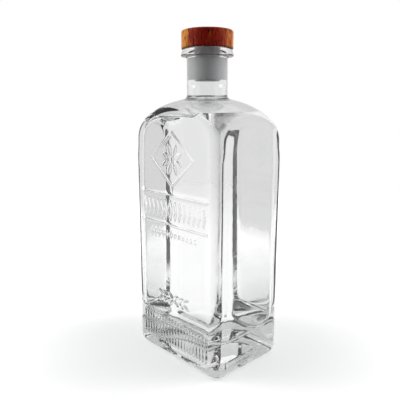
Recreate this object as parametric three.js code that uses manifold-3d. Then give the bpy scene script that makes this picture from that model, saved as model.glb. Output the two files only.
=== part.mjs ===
// A rectangular clear-glass spirit bottle with a domed shoulder and a wooden bar-top stopper.
// It stands on the origin, with its axis along +Z and its embossed face towards -Y. Millimetres.
import * as THREE from "three";
import { mergeVertices } from "three/addons/utils/BufferGeometryUtils.js";
import Module from "manifold-3d";

const wasm = await Module();
wasm.setup();
const { Manifold, Mesh: SolidMesh } = wasm;

// The whole object, standing.
const overallHeight = 233.5; // from the table to the top of the stopper

// Body of the bottle, outside.
const bodyWidth = 88; // along X, the embossed face
const bodyDepth = 66; // along Y
const cornerRadius = 7.5; // the four upright edges
const heelRadius = 4.5; // where the faces turn under to the base
const shoulderRise = 32.25; // half height of the domed shoulder's ellipse
const shoulderMargin = 0.35; // how much wider the dome is drawn than the corners that it rounds off

// Neck and lip, outside.
const neckRadius = 14.25;
const neckFillet = 2.5; // sweep from the shoulder into the neck
const neckHeight = 27; // from the top of the dome's ellipse to the underside of the lip
const lipHeight = 5;
const lipRadius = 18.4; // its widest line, just above its lower edge
const lipTopRadius = 17.4; // the lip narrows a little towards its top
const lipRound = 1.1; // rounding of the lip's edges
const lipSweep = 2; // short flare from the neck into the lip's underside

// Glass thickness and the hollow inside.
const wall = 3.6; // side walls
const shoulderWall = 3.85; // at the top of the dome
const baseThickness = 20; // the heavy foot
const floorRadius = 12; // rounding of the hollow's bottom edge
const hollowCornerRadius = 9; // rounding of the hollow's upright edges
const boreRadius = 9.25; // the part of the neck that takes the stopper
const boreLength = 25; // length of that part, from the lip down
const throatRadius = 8.6; // the neck's narrower lower part
const throatFillet = 4; // flare from the throat into the shoulder
const boreChamfer = 0.8; // lead-in at the lip
const dishRise = 2.4; // push-up in the middle of the base
const rimWidth = 6; // flat ring that the bottle stands on

// Spirit in the bottle.
const fillHeight = 175; // its surface above the table
const liquorGap = 0.3; // kept free between the spirit and the glass

// Stopper: a moulded shank glued into a turned wooden head.
const headRadius = 18;
const headHeight = 12.25;
const headEdgeRadius = 1.6;
const headChamfer = 0.5;
const shankLength = 22;
const shankClearance = 0.15; // between the shank and the bore
const shankChamfer = 1.4;
const pegRadius = 6.5; // the shank's peg, which sits in the head
const pegLength = 5;
const glueGap = 0.3; // round the peg and over its end

// Relief on the glass.
const reliefHeight = 0.9; // how far it stands out from the embossed face
const reliefRoot = 0.7; // how far it reaches into the wall
const panelHalfWidth = 35.5; // half length of the rules and bands on the embossed face

// Pattern on the embossed face, from the bottom up.
const footBandLow = 11;
const footBandHigh = 29;
const flutePitch = 3.2;
const footRuleHeight = 32.5;
const footRuleWidth = 1.3;
const sprigHeight = 46;
const sprigPitch = 5.4;
const sprigPairs = 3; // pairs of leaves on each side of the middle
const sprigLeafLength = 6.4;
const sprigLeafWidth = 2.8;
const sprigLean = 0.6; // slope of its leaves, in radians
const beadRowHeight = 94;
const beadPitch = 4.2;
const beadRadius = 1.5;
const beadRowHalfLength = 25.5;
const bandLow = 101;
const bandHigh = 122;
const bandRuleWidth = 1.5;
const diamondPitch = 4.8;
const diamondMargin = 2.5; // from the diamonds' points to the rules' middles
const lozengeHeight = 147;
const lozengeHalfHeight = 18;
const lozengeHalfWidth = 22;
const lozengeBar = 1.7;
const rosetteRadius = 11;
const rosettePetals = 8;

// Plain raised frame low on the narrow face at +X.
const frameLow = 5.6;
const frameHigh = 12;
const frameNear = -24.6; // its ends, along Y
const frameFar = 13;
const frameBar = 0.9; // width of its bars
const frameHeight = 0.4; // how far it stands out

// Fineness of the round forms.
const outerTurns = 72; // facets round the outside of the glass
const turns = 48; // facets round every other turned form
const cornerSteps = 5; // facets round each upright edge
const arcSteps = 4; // facets along each curve of a profile

const lipTop = overallHeight - headHeight;
const lipBottom = lipTop - lipHeight;
const crown = lipBottom - neckHeight;
const cornerHeight = crown - shoulderRise; // the upright edges start to round over here
const frontFace = -bodyDepth / 2;
const sideFace = bodyWidth / 2;

// A three.js geometry as a manifold-3d solid.
function solidOf(geometry) {
  const bare = geometry.clone();
  bare.deleteAttribute("normal");
  bare.deleteAttribute("uv");
  const merged = mergeVertices(bare, 1e-4);
  return new Manifold(
    new SolidMesh({
      numProp: 3,
      vertProperties: new Float32Array(merged.attributes.position.array),
      triVerts: new Uint32Array(merged.index.array),
    }),
  );
}

// A manifold-3d solid as a three.js geometry.
function geometryOf(solid) {
  const { vertProperties, triVerts } = solid.getMesh();
  const geometry = new THREE.BufferGeometry();
  geometry.setAttribute("position", new THREE.BufferAttribute(vertProperties, 3));
  geometry.setIndex(new THREE.BufferAttribute(triVerts, 1));
  geometry.computeVertexNormals();
  return geometry;
}

// A profile of radius and height, turned round the Z axis.
function turned(profile, facets = turns) {
  const points = profile.getPoints(arcSteps);
  return new THREE.LatheGeometry(points, facets).rotateX(Math.PI / 2);
}

// A rectangle with rounded corners, as the outline of one level of a block.
function roundedOutline(width, depth, radius) {
  const x = width / 2 - radius;
  const y = depth / 2 - radius;
  const outline = new THREE.Path();
  outline.absarc(x, y, radius, 0, Math.PI / 2);
  outline.absarc(-x, y, radius, Math.PI / 2, Math.PI);
  outline.absarc(-x, -y, radius, Math.PI, 1.5 * Math.PI);
  outline.absarc(x, -y, radius, 1.5 * Math.PI, 2 * Math.PI);
  return outline.curves
    .filter((curve) => curve.isEllipseCurve)
    .flatMap((curve) => curve.getPoints(cornerSteps));
}

// An upright block with rounded corners, whose lower edge turns under in a quarter circle.
function roundedBlock({ width, depth, radius, edge, bottom, top }) {
  const levels = [];
  for (let step = 0; step <= arcSteps; step += 1) {
    const angle = (step / arcSteps) * (Math.PI / 2);
    levels.push({ inset: edge * (1 - Math.sin(angle)), height: bottom + edge * (1 - Math.cos(angle)) });
  }
  levels.push({ inset: 0, height: top });
  const rings = levels.map(({ inset, height }) => {
    const smallest = Math.min(width, depth) / 2 - inset;
    const corner = Math.min(radius, smallest);
    return roundedOutline(width - 2 * inset, depth - 2 * inset, corner).map((p) => [p.x, p.y, height]);
  });
  const count = rings[0].length;
  const positions = [...rings.flat(), [0, 0, bottom], [0, 0, top]];
  const faces = [];
  for (let i = 0; i < count; i += 1) {
    const next = (i + 1) % count;
    for (let ring = 0; ring + 1 < rings.length; ring += 1) {
      const low = ring * count;
      const high = low + count;
      faces.push(low + i, low + next, high + next, low + i, high + next, high + i);
    }
    const lid = (rings.length - 1) * count;
    faces.push(positions.length - 2, next, i);
    faces.push(positions.length - 1, lid + i, lid + next);
  }
  const block = new THREE.BufferGeometry();
  block.setAttribute("position", new THREE.Float32BufferAttribute(positions.flat(), 3));
  block.setIndex(faces);
  return block;
}

// Half width of the dome that rounds off a block: a little more than its corners reach from the axis.
function domeReach(width, depth, radius) {
  return Math.hypot(width / 2 - radius, depth / 2 - radius) + radius + shoulderMargin;
}

// Angle on a quarter ellipse at which its radius has come in to the one given.
function ellipseAngle(half, radius) {
  return Math.acos(radius / half);
}

function bottleOutside() {
  const reach = domeReach(bodyWidth, bodyDepth, cornerRadius);
  const sweep = ellipseAngle(reach, neckRadius + neckFillet);
  const top = cornerHeight + shoulderRise * Math.sin(ellipseAngle(reach, neckRadius));
  const profile = new THREE.Path();
  profile.moveTo(0, -1);
  profile.lineTo(reach, -1);
  profile.lineTo(reach, cornerHeight);
  profile.absellipse(0, cornerHeight, reach, shoulderRise, 0, sweep);
  profile.quadraticCurveTo(neckRadius, top, neckRadius, top + neckFillet);
  profile.lineTo(neckRadius, lipBottom - lipSweep);
  profile.quadraticCurveTo(neckRadius, lipBottom, lipRadius - lipRound, lipBottom);
  profile.quadraticCurveTo(lipRadius, lipBottom, lipRadius, lipBottom + lipRound);
  profile.lineTo(lipTopRadius, lipTop - lipRound);
  profile.quadraticCurveTo(lipTopRadius, lipTop, lipTopRadius - lipRound, lipTop);
  profile.lineTo(0, lipTop);
  const block = roundedBlock({
    width: bodyWidth,
    depth: bodyDepth,
    radius: cornerRadius,
    edge: heelRadius,
    bottom: 0,
    top: lipTop + 1,
  });
  return solidOf(block).intersect(solidOf(turned(profile, outerTurns)));
}

// The hollow's body and shoulder, drawn in by `gap` on every side. It fills the glass when gap is 0.
function hollowBody(gap, top) {
  const width = bodyWidth - 2 * (wall + gap);
  const depth = bodyDepth - 2 * (wall + gap);
  const radius = hollowCornerRadius - gap;
  const reach = domeReach(width, depth, radius);
  const rise = shoulderRise - shoulderWall - gap;
  const sweep = ellipseAngle(reach, throatRadius + throatFillet);
  const shoulder = cornerHeight + rise * Math.sin(ellipseAngle(reach, throatRadius));
  const profile = new THREE.Path();
  profile.moveTo(0, 1);
  profile.lineTo(reach, 1);
  profile.lineTo(reach, cornerHeight);
  profile.absellipse(0, cornerHeight, reach, rise, 0, sweep);
  profile.quadraticCurveTo(throatRadius, shoulder, throatRadius, shoulder + throatFillet);
  profile.lineTo(throatRadius, lipTop - boreLength - 1);
  profile.lineTo(boreRadius, lipTop - boreLength + 1);
  profile.lineTo(boreRadius, lipTop - boreChamfer);
  profile.lineTo(boreRadius + boreChamfer, lipTop);
  profile.lineTo(boreRadius + boreChamfer, lipTop + 2);
  profile.lineTo(0, lipTop + 2);
  const block = roundedBlock({
    width,
    depth,
    radius,
    edge: floorRadius - gap,
    bottom: baseThickness + gap,
    top,
  });
  return solidOf(block).intersect(solidOf(turned(profile)));
}

// The shallow dish under the base, inside the flat ring that the bottle stands on.
function baseDish() {
  const inset = heelRadius + rimWidth;
  const dish = new THREE.SphereGeometry(1, turns, arcSteps).rotateX(Math.PI / 2);
  dish.scale(bodyWidth / 2 - inset, bodyDepth / 2 - inset, dishRise);
  return solidOf(dish);
}

// Stands a relief that was drawn in the X-Y plane, with +Z as its outside, up on the front face.
function onFront(geometry, x, z) {
  return solidOf(geometry.rotateX(Math.PI / 2).translate(x, frontFace, z));
}

// The same on the narrow face at +X, where the drawing's X runs along Y.
function onSide(geometry, y, z) {
  return solidOf(geometry.rotateX(Math.PI / 2).rotateZ(Math.PI / 2).translate(sideFace, y, z));
}

// A half-round bar with round ends, from one end to the other. Upright until it is turned.
function roundBar(length, width, height, angle = 0) {
  const bar = new THREE.CapsuleGeometry(width / 2, length - width, 2, 8);
  return bar.scale(1, 1, (2 * height) / width).rotateZ(angle);
}

// A level rule across the embossed face.
function rule(z, width) {
  return onFront(roundBar(2 * panelHalfWidth, width, reliefHeight * 0.8, Math.PI / 2), 0, z);
}

// Places for a row of equal things, evenly spread about the middle of the face.
function rowOf(pitch, halfLength = panelHalfWidth) {
  const count = Math.floor((2 * halfLength) / pitch);
  return Array.from({ length: count }, (unused, i) => (i - (count - 1) / 2) * pitch);
}

// A row of upright half-round flutes.
function flutes(low, high, pitch) {
  return rowOf(pitch).map((x) =>
    onFront(roundBar(high - low, pitch * 0.8, reliefHeight), x, (low + high) / 2),
  );
}

// A row of tall diamonds with flat tops.
function diamonds(z, pitch, height) {
  return rowOf(pitch).map((x) => {
    const foot = new THREE.CylinderGeometry(0.6, 1, reliefHeight, 4).rotateX(Math.PI / 2);
    foot.translate(0, 0, reliefHeight / 2);
    const root = new THREE.CylinderGeometry(1, 1, reliefRoot, 4).rotateX(Math.PI / 2);
    root.translate(0, 0, -reliefRoot / 2);
    const parts = [foot, root].map((g) => onFront(g.scale(pitch * 0.46, height / 2, 1), x, z));
    return parts[0].add(parts[1]);
  });
}

// A row of round beads.
function beads(z, pitch, radius, halfLength) {
  return rowOf(pitch, halfLength).map((x) => {
    const bead = new THREE.SphereGeometry(1, 8, 4).rotateX(Math.PI / 2);
    return onFront(bead.scale(radius, radius, reliefHeight), x, z);
  });
}

// One pointed oval leaf, whose long axis leans by the angle from level.
function leaf(x, z, length, width, angle) {
  const blade = new THREE.SphereGeometry(1, 8, 6).rotateZ(Math.PI / 2);
  blade.scale(length / 2, width / 2, reliefHeight).rotateZ(angle);
  return onFront(blade, x, z);
}

// A flower of leaves round a bead.
function rosette(x, z, radius, petals) {
  const eye = new THREE.SphereGeometry(1, 12, 6).rotateX(Math.PI / 2);
  const solids = [onFront(eye.scale(radius * 0.22, radius * 0.22, reliefHeight), x, z)];
  for (let i = 0; i < petals; i += 1) {
    const angle = ((i + 0.5) * 2 * Math.PI) / petals;
    const reach = radius * 0.62;
    const u = x + reach * Math.cos(angle);
    const v = z + reach * Math.sin(angle);
    solids.push(leaf(u, v, radius * 0.74, radius * 0.36, angle));
  }
  return solids;
}

// A lozenge of four bars that meet at its points.
function lozenge(z, halfWidth, halfHeight, width) {
  const length = Math.hypot(halfWidth, halfHeight) + width;
  const lean = Math.atan2(halfWidth, halfHeight);
  return [-1, 1].flatMap((side) =>
    [-1, 1].map((level) => {
      const bar = roundBar(length, width, reliefHeight, side * level * lean);
      return onFront(bar, (side * halfWidth) / 2, z + (level * halfHeight) / 2);
    }),
  );
}

// A level sprig: pairs of leaves that point away from the middle.
function sprig(z, pitch, pairs, leafLength, leafWidth) {
  const solids = [];
  for (const side of [-1, 1]) {
    for (let i = 0; i < pairs; i += 1) {
      const x = side * (i + 0.5) * pitch;
      for (const level of [-1, 1]) {
        solids.push(leaf(x, z + level * leafWidth * 0.8, leafLength, leafWidth, side * level * sprigLean));
      }
    }
  }
  return solids;
}

function frontRelief() {
  return [
    ...flutes(footBandLow, footBandHigh, flutePitch),
    rule(footRuleHeight, footRuleWidth),
    ...sprig(sprigHeight, sprigPitch, sprigPairs, sprigLeafLength, sprigLeafWidth),
    ...beads(beadRowHeight, beadPitch, beadRadius, beadRowHalfLength),
    rule(bandLow, bandRuleWidth),
    ...diamonds((bandLow + bandHigh) / 2, diamondPitch, bandHigh - bandLow - 2 * diamondMargin),
    rule(bandHigh, bandRuleWidth),
    ...lozenge(lozengeHeight, lozengeHalfWidth, lozengeHalfHeight, lozengeBar),
    ...rosette(0, lozengeHeight, rosetteRadius, rosettePetals),
  ];
}

function sideFrame() {
  const length = frameFar - frameNear;
  const height = frameHigh - frameLow;
  const middle = (frameFar + frameNear) / 2;
  const level = (frameHigh + frameLow) / 2;
  return [-1, 1].flatMap((end) => [
    onSide(
      roundBar(length, frameBar, frameHeight, Math.PI / 2),
      middle,
      level + (end * (height - frameBar)) / 2,
    ),
    onSide(
      roundBar(height, frameBar, frameHeight),
      middle + (end * (length - frameBar)) / 2,
      level,
    ),
  ]);
}

function glassBottle() {
  const outside = Manifold.union([bottleOutside(), ...frontRelief(), ...sideFrame()]);
  const inside = hollowBody(0, lipTop + 3);
  return outside.subtract(inside).subtract(baseDish());
}

function liquor() {
  return hollowBody(liquorGap, fillHeight);
}

// The turned wooden head, with a blind hole for the shank's peg. Its underside is at height 0.
function stopperHead() {
  const hole = pegRadius + glueGap;
  const holeDepth = pegLength + glueGap;
  const profile = new THREE.Path();
  profile.moveTo(0, holeDepth);
  profile.lineTo(hole, holeDepth);
  profile.lineTo(hole, 0);
  profile.lineTo(headRadius - headChamfer, 0);
  profile.lineTo(headRadius, headChamfer);
  profile.lineTo(headRadius, headHeight - headEdgeRadius);
  profile.quadraticCurveTo(headRadius, headHeight, headRadius - headEdgeRadius, headHeight);
  profile.lineTo(0, headHeight);
  return turned(profile);
}

// The moulded shank, from its lower end up to the peg. Its shoulder is at height 0.
function stopperShank() {
  const radius = boreRadius - shankClearance;
  const profile = new THREE.Path();
  profile.moveTo(0, -shankLength);
  profile.lineTo(radius - shankChamfer, -shankLength);
  profile.lineTo(radius, shankChamfer - shankLength);
  profile.lineTo(radius, 0);
  profile.lineTo(pegRadius, 0);
  profile.lineTo(pegRadius, pegLength);
  profile.lineTo(0, pegLength);
  return turned(profile);
}

const clearGlass = new THREE.MeshStandardMaterial({
  color: 0xeef4f2,
  roughness: 0.03,
  metalness: 0,
  transparent: true,
  opacity: 0.3,
});
const clearSpirit = new THREE.MeshStandardMaterial({
  color: 0xf7fbfb,
  roughness: 0.02,
  metalness: 0,
  transparent: true,
  opacity: 0.25,
});
const oiledWood = new THREE.MeshStandardMaterial({ color: 0x8a3412, roughness: 0.45, metalness: 0 });
const paleShank = new THREE.MeshStandardMaterial({ color: 0xa9adad, roughness: 0.55, metalness: 0 });

function named(name, geometry, material) {
  const mesh = new THREE.Mesh(geometry, material);
  mesh.name = name;
  return mesh;
}

const filledBottle = new THREE.Group();
filledBottle.add(
  named("glass_bottle", geometryOf(glassBottle()), clearGlass),
  named("liquor", geometryOf(liquor()), clearSpirit),
);

const stopper = new THREE.Group();
stopper.position.z = lipTop;
stopper.add(
  named("stopper_head", stopperHead(), oiledWood),
  named("stopper_shank", stopperShank(), paleShank),
);

const liquorBottle = new THREE.Group();
liquorBottle.add(filledBottle, stopper);

export default liquorBottle;
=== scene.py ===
import math

import bmesh
import bpy
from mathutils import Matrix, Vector, noise


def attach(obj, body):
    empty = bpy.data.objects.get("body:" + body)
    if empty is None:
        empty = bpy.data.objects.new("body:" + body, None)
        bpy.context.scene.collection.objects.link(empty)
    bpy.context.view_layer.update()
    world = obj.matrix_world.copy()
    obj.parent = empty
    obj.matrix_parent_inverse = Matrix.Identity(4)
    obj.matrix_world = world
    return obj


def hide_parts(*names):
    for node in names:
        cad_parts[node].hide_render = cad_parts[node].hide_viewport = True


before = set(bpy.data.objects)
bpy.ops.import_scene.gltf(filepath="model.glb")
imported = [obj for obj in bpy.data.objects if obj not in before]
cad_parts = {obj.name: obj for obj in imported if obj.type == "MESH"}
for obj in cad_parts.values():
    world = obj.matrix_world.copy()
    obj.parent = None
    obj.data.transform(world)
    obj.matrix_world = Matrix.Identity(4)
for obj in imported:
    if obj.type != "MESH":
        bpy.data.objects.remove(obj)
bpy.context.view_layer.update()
mm = 0.001

# sizes in millimetres: the forms' sizes are the part's own, and the rest softens and unevens the glass
bottle = {
    "width": 88, "depth": 66, "cornerRadius": 7.5, "heelRadius": 4.5,
    "cornerHeight": 157, "shoulderRise": 32.25, "shoulderMargin": 0.35,
    # the faces' arched tops: their rounding, where they begin and how far out they begin
    "archSoftness": 3.5, "archLead": 14, "archSpread": 6,
    "neckRadius": 14.25, "neckFillet": 2.5, "neckHeight": 27,
    "lipHeight": 5, "lipRadius": 18.4, "lipTopRadius": 17.4, "lipRound": 1.1, "lipSweep": 2,
    "dishRise": 2.4, "rimWidth": 6, "dishCurve": 0.6,
}
hollow = {
    "wall": 3.6, "shoulderWall": 3.85, "floorHeight": 20, "floorRadius": 12, "cornerRadius": 9,
    "boreRadius": 9.25, "boreLength": 25, "throatRadius": 8.6, "throatFillet": 4, "boreChamfer": 0.8,
    "waviness": 0.42, "waveLength": 30, "waveStretch": 0.6,
    "floorWaviness": 0.5, "floorWaveLength": 18, "floorWavePlace": 7,
    # the softened step from the bore to the throat, as (inset, distance from the step)
    "seat": ((0, 1.4), (0.06, 1)), "mouthFlat": 0.3, "mouthRound": 0.2,
}
liquor = {
    "height": 175, "gap": 0.06, "meniscus": 1.3, "meniscusWidth": 1.5, "stillFrom": 3,
    # distances of the surface's rings from the glass
    "rings": (0, 0.2, 0.45, 0.75, 1.1, 1.6, 2.3, 3.2, 4.5, 7),
}
pattern = {
    "height": 0.9, "halfWidth": 35.5, "roundness": 0.42,
    "flutes": {"low": 11, "high": 29, "pitch": 3.2, "halfWidth": 0.4},
    "rules": [(32.5, 1.3), (101, 1.5), (122, 1.5)], "ruleHeight": 0.8,
    "sprig": {"z": 46, "pitch": 5.4, "pairs": 3, "length": 6.4, "width": 2.8, "lean": 0.6, "spread": 0.8},
    "beads": {"z": 94, "pitch": 4.2, "radius": 1.5, "halfLength": 25.5},
    "diamonds": {"low": 103.5, "high": 119.5, "pitch": 4.8, "halfWidth": 0.46, "slope": 0.25},
    "lozenge": {"z": 147, "halfWidth": 22, "halfHeight": 18, "bar": 1.7},
    # the petals' place and half sizes and the middle's, as shares of the radius
    "rosette": {"z": 147, "radius": 11, "petals": 8, "place": 0.62, "long": 0.37, "wide": 0.18, "middle": 0.22},
}
sideFrame = {"low": 5.6, "high": 12, "near": -24.6, "far": 13, "bar": 0.9, "height": 0.4, "slope": 0.2}
head = {"radius": 18, "height": 12.25, "edge": 1.6, "chamfer": 0.5}
# a hair wider than the bore, so that its grey fills the neck, and slimmer in the lip
shank = {
    "radius": 9.28, "topRadius": 9.1, "topLength": 6, "length": 22, "chamfer": 1.4,
    "pegRadius": 6.5, "pegLength": 5, "glueGap": 0.3,
}
# steps along each curve or wall of the bottle, from the base up the outside and from the hollow's floor up
steps = {
    "base": 22, "heel": 7, "dome": 46, "neckFillet": 7, "neck": 5, "lipSweep": 10, "lipEdge": 6, "mouth": 5,
    "floor": 9, "floorEdge": 12, "wall": 28, "arch": 7, "hollowDome": 28, "flare": 9,
}
mergeDistance = 1e-7
sharpAngle = math.radians(35)

lipBottom = bottle["cornerHeight"] + bottle["shoulderRise"] + bottle["neckHeight"]
lipTop = lipBottom + bottle["lipHeight"]


def between(low, high, count):
    # count + 1 values, both ends included
    return [low + (high - low) * i / count for i in range(count + 1)]


def curve(a, b, c, count):
    # points of a quadratic curve, without its first
    points = []
    for t in between(0, 1, count)[1:]:
        points.append(tuple((1 - t) ** 2 * p + 2 * t * (1 - t) * q + t * t * r for p, q, r in zip(a, b, c)))
    return points


def domeReach(half, radius):
    # radius of the dome's foot, just outside the corners of its rectangle
    return math.hypot(half[0] - radius, half[1] - radius) + radius + bottle["shoulderMargin"]


def softSmaller(a, b, softness):
    # the smaller of two lengths, rounded over where they meet
    near = max(softness - abs(a - b), 0) / softness
    return min(a, b) - near * near * softness / 4


# round a rectangle: each column is (side, share of that side)
def columnsRound(front, right, back, left, corner):
    sides = [front, corner, right, corner, back, corner, left, corner]
    return [(side, t) for side, shares in enumerate(sides) for t in shares[:-1]]


def rectanglePoint(column, halfWidth, halfDepth, radius):
    side, t = column
    x, y = halfWidth - radius, halfDepth - radius
    if side % 2:
        turn = math.radians(-90 + 90 * (side // 2) + 90 * t)
        cx, cy = [(x, -y), (x, y), (-x, y), (-x, -y)][side // 2]
        return cx + radius * math.cos(turn), cy + radius * math.sin(turn)
    ends = [((-x, -halfDepth), (x, -halfDepth)), ((halfWidth, -y), (halfWidth, y)),
            ((x, halfDepth), (-x, halfDepth)), ((-halfWidth, y), (-halfWidth, -y))][side // 2]
    return tuple(a + (b - a) * t for a, b in zip(*ends))


def ringPoint(column, row):
    # one point of a level ring, where the row's circle and its rounded rectangle are the limits
    inset = row.get("inset", 0)
    halfWidth, halfDepth = row["half"][0] - inset, row["half"][1] - inset
    x, y = rectanglePoint(column, halfWidth, halfDepth, min(row["radius"], halfDepth))
    size = math.hypot(x, y)
    share = row.get("share", 1)
    if "reach" in row:
        share *= softSmaller(row["reach"], size, bottle["archSoftness"]) / size
    return x * share, y * share


# the raised pattern on the front: each mark has a place, a half size, a lean and a form
def patternMarks():
    marks = []

    def spaced(pitch, halfLength=pattern["halfWidth"]):
        count = int(2 * halfLength / pitch)
        return [(i - (count - 1) / 2) * pitch for i in range(count)]

    def put(form, x, z, halfLong, halfWide, lean=0.0, height=pattern["height"]):
        marks.append({"form": form, "x": x, "z": z, "long": halfLong, "wide": halfWide,
                      "cos": math.cos(lean), "sin": math.sin(lean), "height": height})

    flutes = pattern["flutes"]
    for x in spaced(flutes["pitch"]):
        put("bar", x, (flutes["low"] + flutes["high"]) / 2, (flutes["high"] - flutes["low"]) / 2,
            flutes["pitch"] * flutes["halfWidth"], math.pi / 2)
    for z, width in pattern["rules"]:
        put("bar", 0, z, pattern["halfWidth"], width / 2, 0, pattern["height"] * pattern["ruleHeight"])
    sprig = pattern["sprig"]
    for side in (-1, 1):
        for i in range(sprig["pairs"]):
            for level in (-1, 1):
                put("leaf", side * (i + 0.5) * sprig["pitch"],
                    sprig["z"] + level * sprig["width"] * sprig["spread"],
                    sprig["length"] / 2, sprig["width"] / 2, side * level * sprig["lean"])
    beads = pattern["beads"]
    for x in spaced(beads["pitch"], beads["halfLength"]):
        put("leaf", x, beads["z"], beads["radius"], beads["radius"])
    diamonds = pattern["diamonds"]
    for x in spaced(diamonds["pitch"]):
        put("diamond", x, (diamonds["low"] + diamonds["high"]) / 2, (diamonds["high"] - diamonds["low"]) / 2,
            diamonds["pitch"] * diamonds["halfWidth"], math.pi / 2)
    lozenge = pattern["lozenge"]
    lean = math.atan2(lozenge["halfHeight"], lozenge["halfWidth"])
    length = (math.hypot(lozenge["halfWidth"], lozenge["halfHeight"]) + lozenge["bar"]) / 2
    for side in (-1, 1):
        for level in (-1, 1):
            put("bar", side * lozenge["halfWidth"] / 2, lozenge["z"] + level * lozenge["halfHeight"] / 2,
                length, lozenge["bar"] / 2, -side * level * lean)
    rosette = pattern["rosette"]
    radius = rosette["radius"]
    reach = radius * rosette["place"]
    for i in range(rosette["petals"]):
        turn = (i + 0.5) * 2 * math.pi / rosette["petals"]
        put("leaf", reach * math.cos(turn), rosette["z"] + reach * math.sin(turn),
            radius * rosette["long"], radius * rosette["wide"], turn)
    put("leaf", 0, rosette["z"], radius * rosette["middle"], radius * rosette["middle"])
    return marks


def markHeight(mark, x, z):
    # how far a mark stands out at a place of the front
    dx, dz = x - mark["x"], z - mark["z"]
    u = dx * mark["cos"] + dz * mark["sin"]
    v = dz * mark["cos"] - dx * mark["sin"]
    if mark["form"] == "bar":
        past = max(abs(u) - (mark["long"] - mark["wide"]), 0)
        q = math.hypot(past, v) / mark["wide"]
    elif mark["form"] == "diamond":
        q = abs(u) / mark["long"] + abs(v) / mark["wide"]
        return mark["height"] * min(1, max(0, 1 - q) / pattern["diamonds"]["slope"])
    else:
        q = math.hypot(u / mark["long"], v / mark["wide"])
    return mark["height"] * max(0, 1 - q * q) ** pattern["roundness"]


def ripple(x, y, z, strength, length):
    # the slow unevenness of moulded glass
    return strength * noise.noise(Vector((x, y, z * hollow["waveStretch"])) / length)


def wrappedSheet(name, columns, rows, placePoint):
    # a grid whose sides are joined into a tube, placed point by point, with its ends closed
    bm = bmesh.new()
    across, up = len(columns), len(rows) - 1
    bmesh.ops.create_grid(bm, x_segments=across, y_segments=up, size=1)
    for face in bm.faces:
        level = int((face.calc_center_median().y + 1) / 2 * up)
        face.material_index = rows[level].get("finish", 0)
        face.smooth = True
    places = [[placePoint(column, row) for column in columns] for row in rows]
    for vert in bm.verts:
        i = round((vert.co.x + 1) / 2 * across) % across
        j = round((vert.co.y + 1) / 2 * up)
        vert.co = Vector(places[j][i]) * mm
    bmesh.ops.remove_doubles(bm, verts=bm.verts, dist=mergeDistance)
    bmesh.ops.recalc_face_normals(bm, faces=bm.faces)
    mesh = bpy.data.meshes.new(name)
    bm.to_mesh(mesh)
    bm.free()
    piece = bpy.data.objects.new(name, mesh)
    bpy.context.collection.objects.link(piece)
    return piece


def archSpread(z):
    # how much wider than the dome the limit of a level below it is
    away = (bottle["cornerHeight"] - z) / bottle["archLead"]
    return bottle["archSpread"] * away * away


def hollowRows(gap, top=math.inf):
    # the hollow's levels from the middle of its floor up its wall to a height, drawn in by the gap
    half = (bottle["width"] / 2 - hollow["wall"] - gap, bottle["depth"] / 2 - hollow["wall"] - gap)
    radius = hollow["cornerRadius"] - gap
    low = hollow["floorHeight"] + gap
    edge = hollow["floorRadius"] - gap
    rise = bottle["shoulderRise"] - hollow["shoulderWall"] - gap
    reach = domeReach(half, radius)
    base = {"half": half, "radius": radius, "wave": 1}
    rows = [dict(base, inset=edge, share=share, z=low) for share in between(0, 1, steps["floor"])[:-1]]
    for turn in between(0, math.pi / 2, steps["floorEdge"]):
        rows.append(dict(base, inset=edge * (1 - math.sin(turn)), z=low + edge * (1 - math.cos(turn))))
    archFoot = bottle["cornerHeight"] - bottle["archLead"]
    for z in between(low + edge, archFoot, steps["wall"])[1:]:
        rows.append(dict(base, z=z))
    for z in between(archFoot, bottle["cornerHeight"], steps["arch"])[1:]:
        rows.append(dict(base, z=z, reach=reach + archSpread(z)))
    domeEnd = math.acos((hollow["throatRadius"] + hollow["throatFillet"]) / reach)
    for turn in between(0, domeEnd, steps["hollowDome"])[1:]:
        rows.append(dict(base, z=bottle["cornerHeight"] + rise * math.sin(turn), reach=reach * math.cos(turn)))
    return [row for row in rows if row["z"] < top - 0.01]


def hollowPoint(column, row):
    # a point of the wavy inner wall or floor
    x, y = ringPoint(column, row)
    z = row["z"]
    size = math.hypot(x, y) or 1
    push = ripple(x, y, z, hollow["waviness"], hollow["waveLength"]) * row["wave"]
    x, y = x * (1 + push / size), y * (1 + push / size)
    if z < hollow["floorHeight"] + 1:
        z += ripple(x, y, hollow["floorWavePlace"], hollow["floorWaviness"], hollow["floorWaveLength"])
    return x, y, z


# where the bars of the side's frame begin, reach their height, leave it and end
barEdges = (0, sideFrame["slope"], sideFrame["bar"] - sideFrame["slope"], sideFrame["bar"])
# levels of the outside as low, high and steps between: close together only where the pattern needs them
levelSpans = (
    (14, 26, 6), (26.5, 29.2, 6),  # the flutes
    (31.2, 33.8, 9), (36, 40, 2), (41, 51, 22),  # the lowest rule and the sprig
    (55, 89, 6), (92.2, 95.8, 10), (98, 99.5, 1),  # the beads
    (100, 102, 6), (103.2, 119.8, 24), (121, 123, 6),  # the diamonds between their rules
    (126, 128.3, 1), (128.8, 157, 62),  # the lozenge
)


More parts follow.
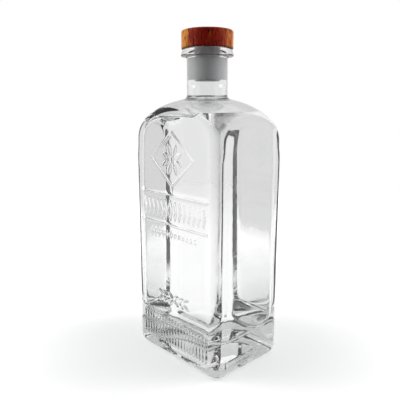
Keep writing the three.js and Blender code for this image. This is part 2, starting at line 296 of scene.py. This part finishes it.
# the glass: out from the middle of the base, up the outside, over the lip and down the inside
def glassRows():
    half = (bottle["width"] / 2, bottle["depth"] / 2)
    outside = {"half": half, "radius": bottle["cornerRadius"]}
    heel = bottle["heelRadius"]
    rows = [dict(outside, inset=heel, share=share, z=0, dish=True) for share in between(0, 1, steps["base"])[:-1]]
    for turn in between(0, math.pi / 2, steps["heel"]):
        rows.append(dict(outside, inset=heel * (1 - math.sin(turn)), z=heel * (1 - math.cos(turn)), dish=turn == 0))
    low, high = sideFrame["low"], sideFrame["high"]
    wall = [low - 0.15] + [low + d for d in barEdges] + [(low + high) / 2] + [high - d for d in barEdges[:0:-1]]
    for start, end, count in ((high, 13.5, 4), *levelSpans):
        wall += between(start, end, count)
    reach = domeReach(half, bottle["cornerRadius"])
    for z in wall:
        limit = {"reach": reach + archSpread(z)} if bottle["cornerHeight"] - z < bottle["archLead"] else {}
        rows.append(dict(outside, z=z, **limit))
    fillet = bottle["neckRadius"] + bottle["neckFillet"]
    for turn in between(0, math.acos(fillet / reach), steps["dome"])[1:]:
        z = bottle["cornerHeight"] + bottle["shoulderRise"] * math.sin(turn)
        rows.append(dict(outside, z=z, reach=reach * math.cos(turn)))
    neck, rise = bottle["neckRadius"], bottle["shoulderRise"]
    neckFoot = bottle["cornerHeight"] + rise * math.sin(math.acos(neck / reach))
    neckStart = neckFoot + bottle["neckFillet"]
    profile = [(fillet, rows[-1]["z"])]
    profile += curve(profile[-1], (neck, neckFoot), (neck, neckStart), steps["neckFillet"])
    profile += [(neck, z) for z in between(neckStart, lipBottom - bottle["lipSweep"], steps["neck"])[1:]]
    lip, lipEnd, edge = bottle["lipRadius"], bottle["lipTopRadius"], bottle["lipRound"]
    profile += curve(profile[-1], (neck, lipBottom), (lip - edge, lipBottom), steps["lipSweep"])
    profile += curve(profile[-1], (lip, lipBottom), (lip, lipBottom + edge), steps["lipEdge"])
    profile += [(lipEnd + 0.05, lipTop - edge)]
    profile += curve(profile[-1], (lipEnd, lipTop), (lipEnd - edge, lipTop), steps["lipEdge"])
    # down the bore, over the softened step below the shank and into the throat
    bore, throat, chamfer = hollow["boreRadius"], hollow["throatRadius"], hollow["boreChamfer"]
    profile += [(bore + chamfer + hollow["mouthFlat"], lipTop)]
    profile += curve(profile[-1], (bore + hollow["mouthRound"], lipTop), (bore, lipTop - chamfer), steps["mouth"])
    seat = lipTop - hollow["boreLength"]
    profile += [(bore - inset, seat + away) for inset, away in hollow["seat"]]
    profile += [(throat + inset, seat - away) for inset, away in reversed(hollow["seat"])]
    for radius, z in profile[1:]:
        rows.append(dict(outside, z=z, reach=radius))
    # the flare from the throat into the hollow's shoulder
    within = hollowRows(0)
    last = within[-1]
    inner = {"half": last["half"], "radius": last["radius"]}
    innerReach = domeReach(last["half"], last["radius"])
    top = bottle["cornerHeight"] + (rise - hollow["shoulderWall"]) * math.sin(math.acos(throat / innerReach))
    flare = [(throat, top + hollow["throatFillet"])]
    flare += curve(flare[0], (throat, top), (last["reach"], last["z"]), steps["flare"])
    for radius, z in flare[:-1]:
        rows.append(dict(inner, z=z, reach=radius))
    wetTop = liquor["height"] + liquor["meniscus"]
    for row in reversed(within):
        rows.append(dict(row, finish=1 if row["z"] < wetTop else 0))
    return rows


marks = patternMarks()
nearMarks = {}


def marksNear(z):
    # the marks that a level can meet, found once for each level
    if z not in nearMarks:
        nearMarks[z] = [m for m in marks if abs(m["z"] - z) < max(m["long"], m["wide"])]
    return nearMarks[z]


def glassPoint(column, row):
    if row.get("wave"):
        return hollowPoint(column, row)
    x, y = ringPoint(column, row)
    z = row["z"]
    if row.get("dish"):
        inset = bottle["heelRadius"] + bottle["rimWidth"]
        q = math.hypot(x / (bottle["width"] / 2 - inset), y / (bottle["depth"] / 2 - inset))
        z = bottle["dishRise"] * max(0, 1 - q * q) ** bottle["dishCurve"]
    if column[0] == 0 and abs(y + bottle["depth"] / 2) < 0.02:
        y -= max([markHeight(m, x, z) for m in marksNear(z)], default=0)
    if column[0] == 2 and sideFrame["low"] <= z <= sideFrame["high"]:
        bar = sideFrame["bar"]
        edge = min(z - sideFrame["low"], sideFrame["high"] - z, y - sideFrame["near"], sideFrame["far"] - y)
        if 0 < edge < bar:
            x += sideFrame["height"]
    return x, y, z


print("shaping the glass")
frontStep = pattern["flutes"]["pitch"] / 6
stepsAside = 68
flatWidth = bottle["width"] - 2 * bottle["cornerRadius"]
frontShares = [0] + [0.5 + i * frontStep / flatWidth for i in range(-stepsAside, stepsAside + 1)] + [1]
flatDepth = bottle["depth"] - 2 * bottle["cornerRadius"]
sidePlaces = [-flatDepth / 2] + [sideFrame["near"] + d for d in barEdges] + between(-22, 11, 15)
sidePlaces += [sideFrame["far"] - d for d in barEdges[::-1]] + between(14.5, flatDepth / 2, 6)
rightShares = [0.5 + y / flatDepth for y in sidePlaces]
glassColumns = columnsRound(front=frontShares, right=rightShares, back=between(0, 1, 20),
                            left=between(0, 1, 16), corner=between(0, 1, 8))
glass = wrappedSheet("clear_bottle", glassColumns, glassRows(), glassPoint)
print("glass", sum(len(face.vertices) - 2 for face in glass.data.polygons), "triangles")

print("pouring the liquor")
wide, narrow = between(0, 1, 22), between(0, 1, 16)
liquorColumns = columnsRound(front=wide, right=narrow, back=wide, left=narrow, corner=between(0, 1, 10))


def liquorRows():
    # up the glass to the top of the meniscus, then in over the surface to its middle
    rows = hollowRows(liquor["gap"], liquor["height"] + liquor["meniscus"])
    edge = dict(rows.pop(), finish=1)
    for away in liquor["rings"]:
        share = 1 - away / edge["reach"]
        lift = liquor["meniscus"] * math.exp(-away / liquor["meniscusWidth"])
        wave = max(0, 1 - away / liquor["stillFrom"])
        rows.append(dict(edge, share=share, z=liquor["height"] + lift, wave=wave))
    for share in between(share, 0, 8)[1:]:
        rows.append(dict(edge, share=share, z=liquor["height"], wave=0))
    return rows


def liquorPoint(column, row):
    if row["wave"]:
        return hollowPoint(column, row)
    return (*ringPoint(column, row), row["z"])


spirit = wrappedSheet("clear_spirit", liquorColumns, liquorRows(), liquorPoint)


def turned(name, profile, facets):
    # a profile of radius and height, spun round the axis
    bm = bmesh.new()
    verts = [bm.verts.new((r * mm, 0, z * mm)) for r, z in profile]
    edges = [bm.edges.new(pair) for pair in zip(verts, verts[1:])]
    bmesh.ops.spin(bm, geom=verts + edges, cent=(0, 0, 0), axis=(0, 0, 1), angle=2 * math.pi,
                   steps=facets, use_merge=True)
    bmesh.ops.remove_doubles(bm, verts=bm.verts, dist=mergeDistance)
    bmesh.ops.recalc_face_normals(bm, faces=bm.faces)
    for face in bm.faces:
        face.smooth = True
    mesh = bpy.data.meshes.new(name)
    bm.to_mesh(mesh)
    bm.free()
    mesh.set_sharp_from_angle(angle=sharpAngle)
    piece = bpy.data.objects.new(name, mesh)
    bpy.context.collection.objects.link(piece)
    return piece


print("turning the stopper")
rim, headTop = head["radius"], lipTop + head["height"]
hole = shank["pegRadius"] + shank["glueGap"]
roof = lipTop + shank["pegLength"] + shank["glueGap"]
headProfile = [(0, roof), (hole, roof), (hole, lipTop), (rim - head["chamfer"], lipTop)]
headProfile += curve(headProfile[-1], (rim, lipTop), (rim, lipTop + head["chamfer"]), 4)
headProfile += [(rim, lipTop + head["height"] * share) for share in (0.25, 0.5, 0.75)]
headProfile += [(rim, headTop - head["edge"])]
headProfile += curve(headProfile[-1], (rim, headTop), (rim - head["edge"], headTop), 8)
headProfile += [(12, headTop), (6, headTop), (0, headTop)]
woodHead = turned("wood_head", headProfile, 128)

full, shankFoot, pegTop = shank["radius"], lipTop - shank["length"], lipTop + shank["pegLength"]
narrowing = lipTop - shank["topLength"]
plugProfile = [(0, shankFoot), (full - shank["chamfer"] - 1, shankFoot)]
plugProfile += curve((full - shank["chamfer"], shankFoot), (full - 0.3, shankFoot + 0.2),
                     (full, shankFoot + shank["chamfer"]), 5)
plugProfile += [(full, narrowing), (shank["topRadius"], narrowing + 0.4), (shank["topRadius"], lipTop)]
plugProfile += [(shank["pegRadius"], lipTop), (shank["pegRadius"], pegTop), (0, pegTop)]
plug = turned("pale_plug", plugProfile, 96)

for piece, node, body, slot in (
        (glass, "glass_bottle", "bottle", "clear_glass"), (spirit, "liquor", "bottle", "clear_spirit"),
        (woodHead, "stopper_head", "stopper", "oiled_wood"), (plug, "stopper_shank", "stopper", "pale_shank")):
    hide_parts(node)
    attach(piece, body)


print("making the materials")


def material(name):
    made = bpy.data.materials.new(name)
    made.use_nodes = True
    made.node_tree.nodes.clear()
    return made, made.node_tree


def add(tree, kind, **values):
    # a node with its settings; a value for one of its sockets is given by the socket's name
    made = tree.nodes.new(kind)
    for key, value in values.items():
        if key in made.inputs:
            made.inputs[key].default_value = value
        else:
            setattr(made, key, value)
    return made


def link(tree, source, output, target, socket):
    tree.links.new(source.outputs[output], target.inputs[socket])


def ramp(tree, *stops):
    # a colour ramp through (position, colour) stops; a single number stands for a grey
    made = add(tree, "ShaderNodeValToRGB")
    elements = made.color_ramp.elements
    elements[0].position, elements[1].position = stops[0][0], stops[-1][0]
    for position, _ in stops[1:-1]:
        elements.new(position)
    for element, (_, colour) in zip(elements, stops):
        element.color = colour if isinstance(colour, tuple) else (colour, colour, colour, 1)
    return made


# colour and index of refraction; where liquor wets the glass, the glass's wall has the whole step between
# the two, and the liquor's side has none
clear = {
    "glass": ((0.985, 0.99, 0.988, 1), 1.52), "wetGlass": ((1, 1, 1, 1), 1.118),
    "liquorSide": ((1, 1, 1, 1), 1.0), "liquorTop": ((1, 1, 1, 1), 1.36),
}
shadowTint = (0.84, 0.85, 0.85, 1)
unevenness = {"Scale": 85.0, "Detail": 4.0, "Roughness": 0.45, "strength": 0.16, "distance": 0.0004}
stippleEdge = 1.2
stipple = {
    "scale": 1100.0, "strength": 1.0, "distance": 0.0005,
    "box": ((bottle["width"] / 2 - 0.2, bottle["width"] / 2 + 0.2),
            (sideFrame["near"] + stippleEdge, sideFrame["far"] - stippleEdge),
            (sideFrame["low"] + stippleEdge, sideFrame["high"] - stippleEdge)),
}


def moulding(tree, shader):
    # the slight unevenness that a mould leaves on glass, and the stippled ground inside the side's frame
    place = add(tree, "ShaderNodeTexCoord")
    waves = add(tree, "ShaderNodeTexNoise", **{key: unevenness[key] for key in ("Scale", "Detail", "Roughness")})
    bump = add(tree, "ShaderNodeBump", Strength=unevenness["strength"], Distance=unevenness["distance"])
    link(tree, place, "Object", waves, "Vector")
    link(tree, waves, "Fac", bump, "Height")
    axes = add(tree, "ShaderNodeSeparateXYZ")
    grains = add(tree, "ShaderNodeTexNoise", Scale=stipple["scale"], Detail=1.0)
    link(tree, place, "Object", axes, "Vector")
    link(tree, place, "Object", grains, "Vector")
    ground = grains.outputs["Fac"]
    for axis, (low, high) in zip("XYZ", stipple["box"]):
        inside = add(tree, "ShaderNodeMath", operation="COMPARE")
        inside.inputs[1].default_value = (low + high) / 2 * mm
        inside.inputs[2].default_value = (high - low) / 2 * mm
        masked = add(tree, "ShaderNodeMath", operation="MULTIPLY")
        link(tree, axes, axis, inside, 0)
        tree.links.new(inside.outputs[0], masked.inputs[0])
        tree.links.new(ground, masked.inputs[1])
        ground = masked.outputs[0]
    rough = add(tree, "ShaderNodeBump", Strength=stipple["strength"], Distance=stipple["distance"])
    tree.links.new(ground, rough.inputs["Height"])
    link(tree, bump, "Normal", rough, "Normal")
    link(tree, rough, "Normal", shader, "Normal")


def clearMaterial(name, key, uneven=False):
    # clear to shadow rays, so that light reaches the table through it
    made, tree = material(name)
    colour, refraction = clear[key]
    shader = add(tree, "ShaderNodeBsdfPrincipled",
                 **{"Base Color": colour, "Roughness": 0.0, "IOR": refraction, "Transmission Weight": 1.0})
    if uneven:
        moulding(tree, shader)
    shade = add(tree, "ShaderNodeBsdfTransparent", Color=shadowTint)
    rays = add(tree, "ShaderNodeLightPath")
    mix = add(tree, "ShaderNodeMixShader")
    out = add(tree, "ShaderNodeOutputMaterial")
    link(tree, rays, "Is Shadow Ray", mix, 0)
    tree.links.new(shader.outputs[0], mix.inputs[1])
    tree.links.new(shade.outputs[0], mix.inputs[2])
    tree.links.new(mix.outputs[0], out.inputs[0])
    return made


glass.data.materials.append(clearMaterial("clearGlass", "glass", True))
glass.data.materials.append(clearMaterial("wetGlass", "wetGlass"))
spirit.data.materials.append(clearMaterial("liquorSide", "liquorSide"))
spirit.data.materials.append(clearMaterial("liquorTop", "liquorTop"))

wood = {
    "tones": ((0.53, (0.3, 0.007, 0.002, 1)), (0.62, (0.42, 0.07, 0.005, 1)), (0.71, (0.64, 0.23, 0.016, 1))),
    "pore": (0.035, 0.006, 0.003, 1), "pores": ((0.35, 0.0), (0.47, 1.0)),
    # how the noises are stretched, each with its detail, and how much of two of them the tones take
    "figure": ((110, 110, 26), 3.0), "fibre": ((1500, 1500, 150), 5.0), "flecks": ((900, 900, 240), 2.0),
    "figureShare": 0.45, "fibreShare": 0.6,
    # painted side light: the head is red in a band through its middle, along the camera's line of sight, and golden
    # beyond it towards its sides
    "across": (0.68, 0.73, 0), "paintedSideBand": (0.009, 0.0165), "paintedSideGold": 0.2,
    # the head's lowest part darkened towards the pore colour: painted shade where it sits on the lip
    "paintedShadeHeight": 0.0016, "paintedShadeShare": 0.3,
}


def woodMaterial():
    # red wood with dark pores along the grain, golden sides of painted side light, and a foot darkened by painted
    # shade
    made, tree = material("oiledWood")
    place = add(tree, "ShaderNodeTexCoord")
    noises = {}
    for name in ("figure", "fibre", "flecks"):
        scale, detail = wood[name]
        stretch = add(tree, "ShaderNodeMapping", Scale=scale)
        noises[name] = add(tree, "ShaderNodeTexNoise", Scale=1.0, Detail=detail, Roughness=0.6)
        link(tree, place, "Object", stretch, "Vector")
        link(tree, stretch, "Vector", noises[name], "Vector")
    # painted side light: gold grows with the distance from the head's middle, across the camera's view
    across = add(tree, "ShaderNodeVectorMath", operation="DOT_PRODUCT")
    across.inputs[1].default_value = wood["across"]
    distance = add(tree, "ShaderNodeMath", operation="ABSOLUTE")
    paintedSideBand = add(tree, "ShaderNodeMapRange", interpolation_type="SMOOTHSTEP")
    paintedSideBand.inputs["From Min"].default_value, paintedSideBand.inputs["From Max"].default_value = wood["paintedSideBand"]
    paintedSideBand.inputs["To Max"].default_value = wood["paintedSideGold"]
    figureAndSideLight = add(tree, "ShaderNodeMath", operation="MULTIPLY_ADD")
    figureAndSideLight.inputs[1].default_value = wood["figureShare"]
    blend = add(tree, "ShaderNodeMath", operation="MULTIPLY_ADD")
    blend.inputs[1].default_value = wood["fibreShare"]
    tones = ramp(tree, *wood["tones"])
    pores = ramp(tree, *wood["pores"])
    height = add(tree, "ShaderNodeSeparateXYZ")
    # painted shade: the wood darkens towards the pore colour over the lowest 1.6 mm of the head, where it sits on
    # the lip
    paintedFootShade = add(tree, "ShaderNodeMapRange", interpolation_type="SMOOTHSTEP")
    paintedFootShade.inputs["From Min"].default_value = lipTop * mm
    paintedFootShade.inputs["From Max"].default_value = lipTop * mm + wood["paintedShadeHeight"]
    paintedFootShade.inputs["To Min"].default_value = wood["paintedShadeShare"]
    # the pores and the painted shade at the foot, together
    poreAndShadeMask = add(tree, "ShaderNodeMath", operation="MULTIPLY")
    colour = add(tree, "ShaderNodeMix", data_type="RGBA")
    colour.inputs[6].default_value = wood["pore"]
    shader = add(tree, "ShaderNodeBsdfPrincipled", **{"Roughness": 0.4, "IOR": 1.5, "Specular IOR Level": 0.2})
    bump = add(tree, "ShaderNodeBump", Strength=0.35, Distance=0.0002)
    out = add(tree, "ShaderNodeOutputMaterial")
    link(tree, noises["fibre"], "Fac", blend, 0)
    link(tree, place, "Object", across, 0)
    link(tree, across, "Value", distance, 0)
    link(tree, distance, 0, paintedSideBand, "Value")
    link(tree, noises["figure"], "Fac", figureAndSideLight, 0)
    tree.links.new(paintedSideBand.outputs[0], figureAndSideLight.inputs[2])
    tree.links.new(figureAndSideLight.outputs[0], blend.inputs[2])
    tree.links.new(blend.outputs[0], tones.inputs[0])
    link(tree, noises["flecks"], "Fac", pores, "Fac")
    link(tree, place, "Object", height, "Vector")
    link(tree, height, "Z", paintedFootShade, "Value")
    link(tree, pores, "Color", poreAndShadeMask, 0)
    tree.links.new(paintedFootShade.outputs[0], poreAndShadeMask.inputs[1])
    tree.links.new(poreAndShadeMask.outputs[0], colour.inputs["Factor"])
    tree.links.new(tones.outputs[0], colour.inputs[7])
    tree.links.new(colour.outputs[2], shader.inputs["Base Color"])
    tree.links.new(poreAndShadeMask.outputs[0], bump.inputs["Height"])
    link(tree, bump, "Normal", shader, "Normal")
    tree.links.new(shader.outputs[0], out.inputs[0])
    return made


plugGreys = ((0, (0.5, 0.505, 0.51, 1)), (1, (0.6, 0.61, 0.62, 1)))


def plugMaterial():
    # a matt synthetic, faintly speckled
    made, tree = material("palePlug")
    place = add(tree, "ShaderNodeTexCoord")
    speckle = add(tree, "ShaderNodeTexNoise", Scale=700.0, Detail=4.0)
    colours = ramp(tree, *plugGreys)
    shader = add(tree, "ShaderNodeBsdfPrincipled", Roughness=0.5, IOR=1.45)
    bump = add(tree, "ShaderNodeBump", Strength=0.15, Distance=0.0001)
    out = add(tree, "ShaderNodeOutputMaterial")
    link(tree, place, "Object", speckle, "Vector")
    link(tree, speckle, "Fac", colours, "Fac")
    link(tree, colours, "Color", shader, "Base Color")
    link(tree, speckle, "Fac", bump, "Height")
    link(tree, bump, "Normal", shader, "Normal")
    tree.links.new(shader.outputs[0], out.inputs[0])
    return made


woodHead.data.materials.append(woodMaterial())
plug.data.materials.append(plugMaterial())

print("setting the studio")
photoCamera = {
    "place": (0.23935, -0.22996, 0.18092), "forward": (-0.71754, 0.66865, -0.19505),
    "lens": 41.28, "sensor": 36, "clip": 0.01,
}
ahead = Vector((photoCamera["forward"][0], photoCamera["forward"][1], 0)).normalized()
studio = {
    "floorRadius": 0.5, "floorAhead": 0.35, "floorSolid": 0.41, "floorColour": (0.88, 0.88, 0.88, 1),
    # the floor's own light near the bottle and far from it, and where near and far are; the lower light near the
    # bottle is a painted shadow round its foot
    "cameraLift": (0.1, 0.7), "glassLift": (0.02, 0.16), "near": 0.07, "far": 0.34,
    # strength of the surroundings by direction: 0 is towards the camera, 1 away from it
    "through": [(0, 0.72), (0.3, 0.68), (0.5, 0.72), (1, 0.84)],
    "reflected": [(0, 0.07), (0.26, 0.07), (0.31, 0.4), (0.345, 0.7), (0.5, 0.72), (1, 0.84)],
    "lighting": [(0, 0.1), (0.15, 0.15), (0.3, 1.0), (0.5, 1.8), (0.7, 1.0), (1, 0.45)],
    # a share of that strength in the glass, by height: 0 is straight down, 0.5 level and 1 straight up
    "rise": [(0, 1), (0.57, 1), (0.64, 0.78), (0.8, 0.78), (0.92, 1), (1, 1)],
    "lamp": {"power": 1.6, "size": (0.22, 0.3), "aside": 0.5, "ahead": 0.05, "height": 0.52},
}
disc = bmesh.new()
bmesh.ops.create_circle(disc, cap_ends=True, segments=96, radius=studio["floorRadius"])
bmesh.ops.translate(disc, verts=disc.verts, vec=ahead * studio["floorAhead"])
floorMesh = bpy.data.meshes.new("table_top")
disc.to_mesh(floorMesh)
disc.free()
floor = bpy.data.objects.new("table_top", floorMesh)
bpy.context.collection.objects.link(floor)


def floorMaterial():
    # white to the camera away from the bottle; round its foot the bottle's shadow, deepened by a painted shadow
    # where the floor's own light is dimmer
    made, tree = material("paleTable")
    matte = add(tree, "ShaderNodeBsdfDiffuse", Color=studio["floorColour"])
    lift = add(tree, "ShaderNodeEmission", Color=(1, 1, 1, 1))
    rays = add(tree, "ShaderNodeLightPath")
    place = add(tree, "ShaderNodeTexCoord")
    away = add(tree, "ShaderNodeVectorMath", operation="LENGTH")
    link(tree, place, "Object", away, 0)
    inGlass = add(tree, "ShaderNodeMath", operation="MAXIMUM")
    link(tree, rays, "Is Glossy Ray", inGlass, 0)
    link(tree, rays, "Is Transmission Ray", inGlass, 1)
    parts = []
    for seen, name in ((rays.outputs["Is Camera Ray"], "cameraLift"), (inGlass.outputs[0], "glassLift")):
        # painted shadow: the floor's own light fades down towards the bottle
        fade = add(tree, "ShaderNodeMapRange", interpolation_type="SMOOTHSTEP")
        fade.inputs["From Min"].default_value, fade.inputs["From Max"].default_value = studio["near"], studio["far"]
        fade.inputs["To Min"].default_value, fade.inputs["To Max"].default_value = studio[name]
        part = add(tree, "ShaderNodeMath", operation="MULTIPLY")
        link(tree, away, "Value", fade, "Value")
        tree.links.new(fade.outputs[0], part.inputs[0])
        tree.links.new(seen, part.inputs[1])
        parts.append(part)
    amount = add(tree, "ShaderNodeMath", operation="ADD")
    total = add(tree, "ShaderNodeAddShader")
    out = add(tree, "ShaderNodeOutputMaterial")
    for i, part in enumerate(parts):
        tree.links.new(part.outputs[0], amount.inputs[i])
    tree.links.new(amount.outputs[0], lift.inputs["Strength"])
    tree.links.new(matte.outputs[0], total.inputs[0])
    tree.links.new(lift.outputs[0], total.inputs[1])
    # the border fades out, so that no edge shows in the glass
    outward = add(tree, "ShaderNodeVectorMath", operation="DISTANCE")
    outward.inputs[1].default_value = ahead * studio["floorAhead"]
    border = add(tree, "ShaderNodeMapRange", interpolation_type="SMOOTHSTEP")
    border.inputs["From Min"].default_value = studio["floorSolid"]
    border.inputs["From Max"].default_value = studio["floorRadius"]
    clearing = add(tree, "ShaderNodeBsdfTransparent")
    faded = add(tree, "ShaderNodeMixShader")
    link(tree, place, "Object", outward, 0)
    link(tree, outward, "Value", border, "Value")
    tree.links.new(border.outputs[0], faded.inputs[0])
    tree.links.new(total.outputs[0], faded.inputs[1])
    tree.links.new(clearing.outputs[0], faded.inputs[2])
    tree.links.new(faded.outputs[0], out.inputs[0])
    return made


floor.data.materials.append(floorMaterial())


def byDirection(tree, facing, name, rise=None):
    # a background whose strength goes by how far a ray's direction turns from the camera's
    greys = ramp(tree, *studio[name])
    made = add(tree, "ShaderNodeBackground", Strength=1.0)
    tree.links.new(facing.outputs[0], greys.inputs[0])
    link(tree, greys, "Color", made, "Color")
    if rise:
        link(tree, rise, "Color", made, "Strength")
    return made


def studioWorld():
    # white to the camera, a softer grey round the glass, dark behind the camera and lighter at the sides
    made = bpy.data.worlds.new("studioWorld")
    made.use_nodes = True
    sky = made.node_tree
    sky.nodes.clear()
    direction = add(sky, "ShaderNodeTexCoord")
    level = add(sky, "ShaderNodeVectorMath", operation="MULTIPLY")
    level.inputs[1].default_value = (1, 1, 0)
    unit = add(sky, "ShaderNodeVectorMath", operation="NORMALIZE")
    turn = add(sky, "ShaderNodeVectorMath", operation="DOT_PRODUCT")
    turn.inputs[1].default_value = ahead
    facing = add(sky, "ShaderNodeMath", operation="MULTIPLY_ADD")
    facing.inputs[1].default_value = facing.inputs[2].default_value = 0.5
    rays = add(sky, "ShaderNodeLightPath")
    white = add(sky, "ShaderNodeBackground", Color=(1, 1, 1, 1), Strength=1.0)
    upward = add(sky, "ShaderNodeSeparateXYZ")
    tilt = add(sky, "ShaderNodeMath", operation="MULTIPLY_ADD")
    tilt.inputs[1].default_value = tilt.inputs[2].default_value = 0.5
    rise = ramp(sky, *studio["rise"])
    link(sky, direction, "Generated", upward, "Vector")
    link(sky, upward, "Z", tilt, 0)
    sky.links.new(tilt.outputs[0], rise.inputs[0])
    through, reflected = [byDirection(sky, facing, name, rise) for name in ("through", "reflected")]
    lighting = byDirection(sky, facing, "lighting")
    out = add(sky, "ShaderNodeOutputWorld")
    link(sky, direction, "Generated", level, 0)
    sky.links.new(level.outputs[0], unit.inputs[0])
    sky.links.new(unit.outputs[0], turn.inputs[0])
    link(sky, turn, "Value", facing, 0)

    # each kind of ray replaces what the one before it saw
    found = through
    for kind, background in (("Glossy Depth", reflected), ("Diffuse Depth", lighting), ("Is Camera Ray", white)):
        chosen = add(sky, "ShaderNodeMath", operation="GREATER_THAN")
        chosen.inputs[1].default_value = 0.5
        mix = add(sky, "ShaderNodeMixShader")
        link(sky, rays, kind, chosen, 0)
        sky.links.new(chosen.outputs[0], mix.inputs[0])
        sky.links.new(found.outputs[0], mix.inputs[1])
        sky.links.new(background.outputs[0], mix.inputs[2])
        found = mix
    sky.links.new(found.outputs[0], out.inputs[0])
    return made


bpy.context.scene.world = studioWorld()

# a lamp on each side, kept out of the glass
sideways = Vector((ahead.y, -ahead.x, 0))
softLamp = studio["lamp"]
for side in (-1, 1):
    lampData = bpy.data.lights.new("soft_lamp", "AREA")
    lampData.shape = "RECTANGLE"
    lampData.size, lampData.size_y = softLamp["size"]
    lampData.energy = softLamp["power"]
    lamp = bpy.data.objects.new("soft_lamp", lampData)
    bpy.context.collection.objects.link(lamp)
    lamp.location = sideways * side * softLamp["aside"] + ahead * softLamp["ahead"]
    lamp.location.z = softLamp["height"]
    lamp.visible_transmission = lamp.visible_glossy = False
    lamp.rotation_euler = (Vector((0, 0, lipTop * mm)) - lamp.location).to_track_quat("-Z", "Y").to_euler()

lensData = bpy.data.cameras.new("photo_camera")
lensData.lens = photoCamera["lens"]
lensData.sensor_width = photoCamera["sensor"]
lensData.clip_start = photoCamera["clip"]
camera = bpy.data.objects.new("photo_camera", lensData)
bpy.context.collection.objects.link(camera)
camera.location = photoCamera["place"]
camera.rotation_euler = Vector(photoCamera["forward"]).to_track_quat("-Z", "Y").to_euler()
bpy.context.scene.camera = camera
bpy.context.scene.view_settings.view_transform = "Standard"
bpy.context.scene.cycles.max_bounces = 32
bpy.context.scene.cycles.transmission_bounces = 32

bpy.context.view_layer.update()
print("finished")
